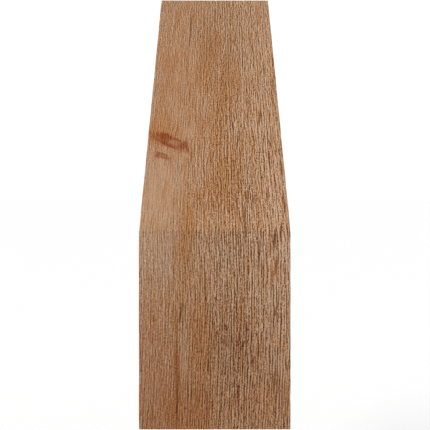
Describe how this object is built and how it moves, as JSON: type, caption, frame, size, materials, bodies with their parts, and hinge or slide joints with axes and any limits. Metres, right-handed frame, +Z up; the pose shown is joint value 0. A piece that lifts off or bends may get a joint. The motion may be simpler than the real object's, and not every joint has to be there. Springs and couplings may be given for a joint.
{
  "type": "timber knee brace",
  "caption": "Straight rough-sawn timber knee brace, cut plumb at the foot to bear on a post and level at the head to bear under a beam.",
  "frame": {"origin": "centre of the foot's plumb cut, the face that bears on the post", "axes": "+Y out of the post along the beam, +Z up towards the beam, +X across the timber's width"},
  "size_m": [0.152, 0.5075, 0.5075],
  "materials": {
    "timber": "unfinished rough-sawn reddish softwood"
  },
  "bodies": {
    "root": {"brace_timber": "timber"}
  },
  "joints": []
}
